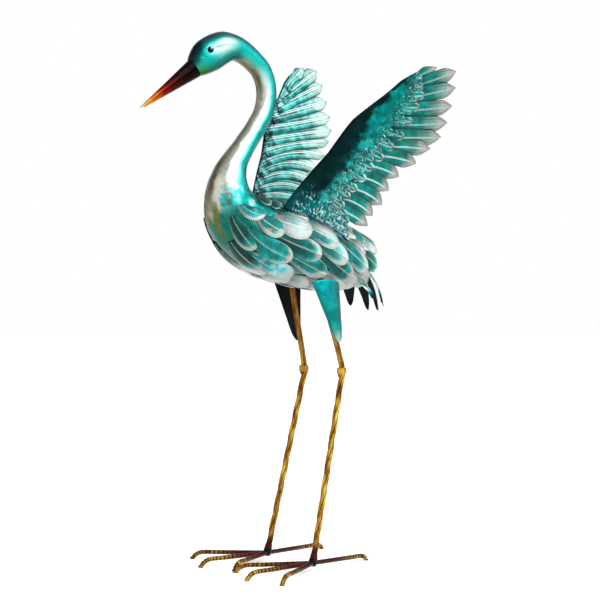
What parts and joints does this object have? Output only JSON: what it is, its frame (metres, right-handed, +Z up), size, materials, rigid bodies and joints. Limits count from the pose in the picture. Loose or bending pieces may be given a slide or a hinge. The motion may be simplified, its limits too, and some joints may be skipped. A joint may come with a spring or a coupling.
{
  "type": "crane garden statue",
  "caption": "Standing crane statue in painted sheet metal, with raised feathered wings, a curved neck, a long bill and slender rod legs on splayed toes.",
  "frame": {"origin": "on the ground, under the middle of the statue's bounding box", "axes": "+Z up; the crane faces -X, with its left side towards -Y"},
  "size_m": [0.5546, 0.3938, 0.9771],
  "materials": {
    "shell_paint": "satin metallic paint, teal brushed over pearl silver",
    "bill_paint": "gloss paint, maroon shading to orange",
    "eye_bead": "gloss black",
    "feather_paint": "satin metallic paint, teal with silver rims",
    "wing_paint": "satin metallic paint, black to teal to silver",
    "plume_paint": "satin black with teal outer faces",
    "thigh_paint": "satin metallic teal",
    "gold_paint": "satin gold brushed over dark brown"
  },
  "bodies": {
    "root": {"head_neck_and_body": "shell_paint", "bill_upper": "bill_paint", "bill_lower": "bill_paint", "left_eye": "eye_bead", "right_eye": "eye_bead", "left_body_feather_1_1": "feather_paint", "left_body_feather_1_2": "feather_paint", "left_body_feather_1_3": "feather_paint", "left_body_feather_1_4": "feather_paint", "left_body_feather_1_5": "feather_paint", "left_body_feather_1_6": "feather_paint", "left_body_feather_2_1": "feather_paint", "left_body_feather_2_2": "feather_paint", "left_body_feather_2_3": "feather_paint", "left_body_feather_2_4": "feather_paint", "left_body_feather_2_5": "feather_paint", "left_body_feather_3_1": "feather_paint", "left_body_feather_3_2": "feather_paint", "left_body_feather_3_3": "feather_paint", "left_body_feather_3_4": "feather_paint", "right_body_feather_1_1": "feather_paint", "right_body_feather_1_2": "feather_paint", "right_body_feather_1_3": "feather_paint", "right_body_feather_1_4": "feather_paint", "right_body_feather_1_5": "feather_paint", "right_body_feather_1_6": "feather_paint", "right_body_feather_2_1": "feather_paint", "right_body_feather_2_2": "feather_paint", "right_body_feather_2_3": "feather_paint", "right_body_feather_2_4": "feather_paint", "right_body_feather_2_5": "feather_paint", "right_body_feather_3_1": "feather_paint", "right_body_feather_3_2": "feather_paint", "right_body_feather_3_3": "feather_paint", "right_body_feather_3_4": "feather_paint", "left_belly_feathers": "feather_paint", "right_belly_feathers": "feather_paint", "mantle_feathers": "feather_paint", "left_wing_flight_feathers": "wing_paint", "left_wing_coverts": "wing_paint", "right_wing_flight_feathers": "wing_paint", "right_wing_coverts": "wing_paint", "left_tail_plume_1": "plume_paint", "left_tail_plume_2": "plume_paint", "left_tail_plume_3": "plume_paint", "right_tail_plume_1": "plume_paint", "right_tail_plume_2": "plume_paint", "right_tail_plume_3": "plume_paint", "left_thigh_plate": "thigh_paint", "right_thigh_plate": "thigh_paint", "left_upper_leg": "gold_paint", "right_upper_leg": "gold_paint", "left_knee_collar": "gold_paint", "right_knee_collar": "gold_paint", "left_shank": "gold_paint", "right_shank": "gold_paint", "left_foot": "gold_paint", "right_foot": "gold_paint"}
  },
  "joints": []
}
